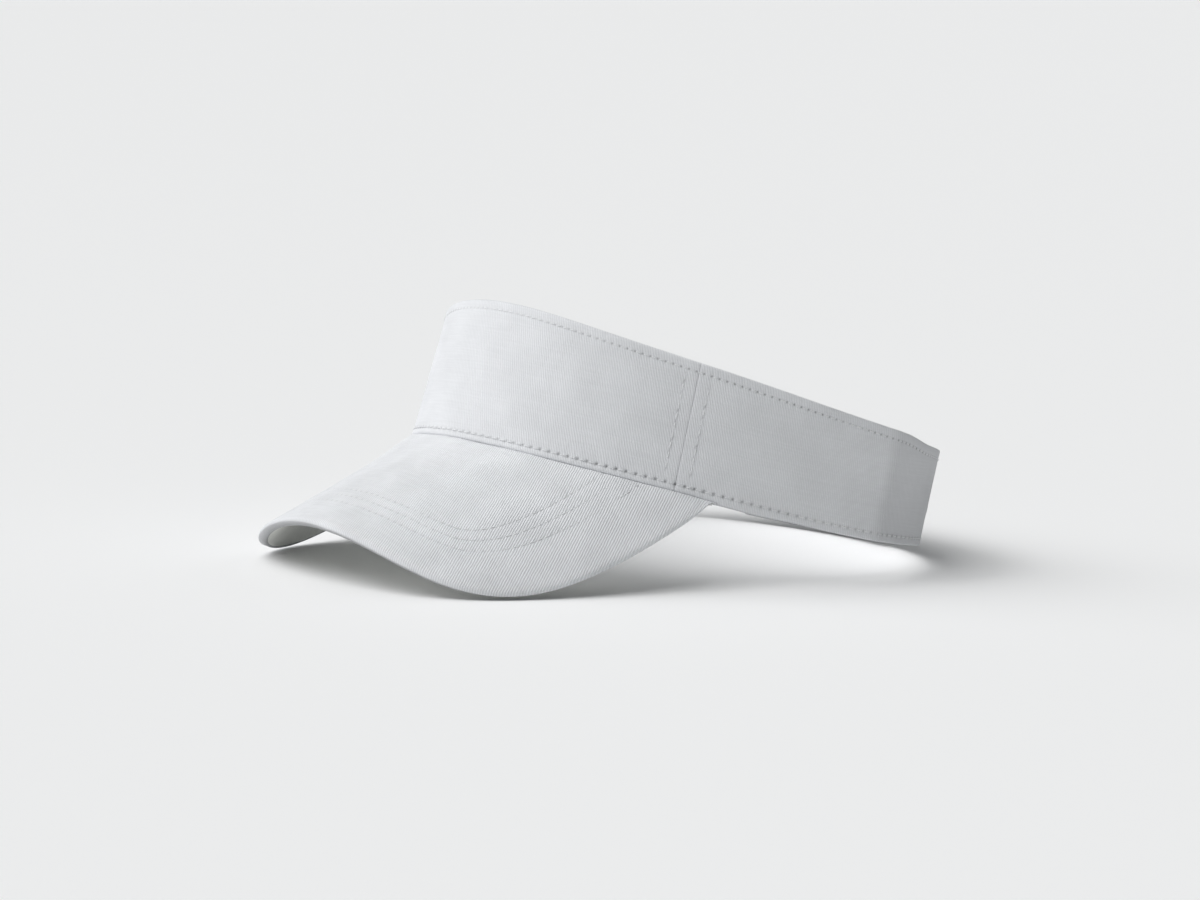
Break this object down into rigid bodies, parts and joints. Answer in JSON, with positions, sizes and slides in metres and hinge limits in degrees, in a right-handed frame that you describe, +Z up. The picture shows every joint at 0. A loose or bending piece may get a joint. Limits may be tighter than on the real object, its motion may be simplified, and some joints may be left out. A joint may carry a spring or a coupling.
{
  "type": "sun visor",
  "caption": "Open-crowned fabric sun visor with a curved stiffened bill, a lined head band with sweatband, and a hook-and-loop strap closure at the back.",
  "frame": {"origin": "middle of the bottom of the bounding box, on the surface the visor stands on", "axes": "+Z up with the visor standing, -Y the way the bill points, +X towards the wearer's left"},
  "size_m": [0.1844, 0.2388, 0.09],
  "materials": {
    "twill": "fine white cotton twill, matt",
    "bill_twill": "white cotton twill with a diagonal rib, matt",
    "lining": "plain white cotton lining, matt",
    "buckram": "stiff open-weave buckram",
    "towelling": "white looped towelling",
    "foam": "soft open-cell foam",
    "board": "white polyethylene sheet",
    "hooks": "woven nylon tape with small stiff hooks",
    "loops": "woven nylon tape with soft loops",
    "thread": "white polyester sewing thread"
  },
  "bodies": {
    "crown": {"bill_board": "board", "bill_bottom_cover": "bill_twill", "bill_stitching_1": "thread", "bill_stitching_2": "thread", "bill_stitching_3": "thread", "bill_top_cover": "bill_twill", "bottom_edge_stitching": "thread", "front_interlining": "buckram", "front_lining": "lining", "front_panel": "twill", "seam_stitching_left_front": "thread", "seam_stitching_left_rear": "thread", "seam_stitching_right_front": "thread", "seam_stitching_right_rear": "thread", "side_lining_left": "lining", "side_lining_right": "lining", "side_panel_left": "twill", "side_panel_right": "twill", "sweatband": "towelling", "sweatband_foam": "foam", "top_edge_stitching": "thread"},
    "strap_left": {"closure_strap_left": "twill", "hook_tape": "hooks"},
    "strap_right": {"closure_strap_right": "twill", "loop_tape": "loops"}
  },
  "joints": [
    {"name": "left_strap_peel", "type": "hinge", "parent": "crown", "child": "strap_left", "pos_m": [0.09024, 0.04922, 0.01263], "axis": [-0.0191, -0.2425, -0.97], "range_deg": [0, 70]},
    {"name": "right_strap_flex", "type": "hinge", "parent": "crown", "child": "strap_right", "pos_m": [-0.09024, 0.04922, 0.01263], "axis": [-0.0191, 0.2425, 0.97], "range_deg": [-25, 0]}
  ]
}
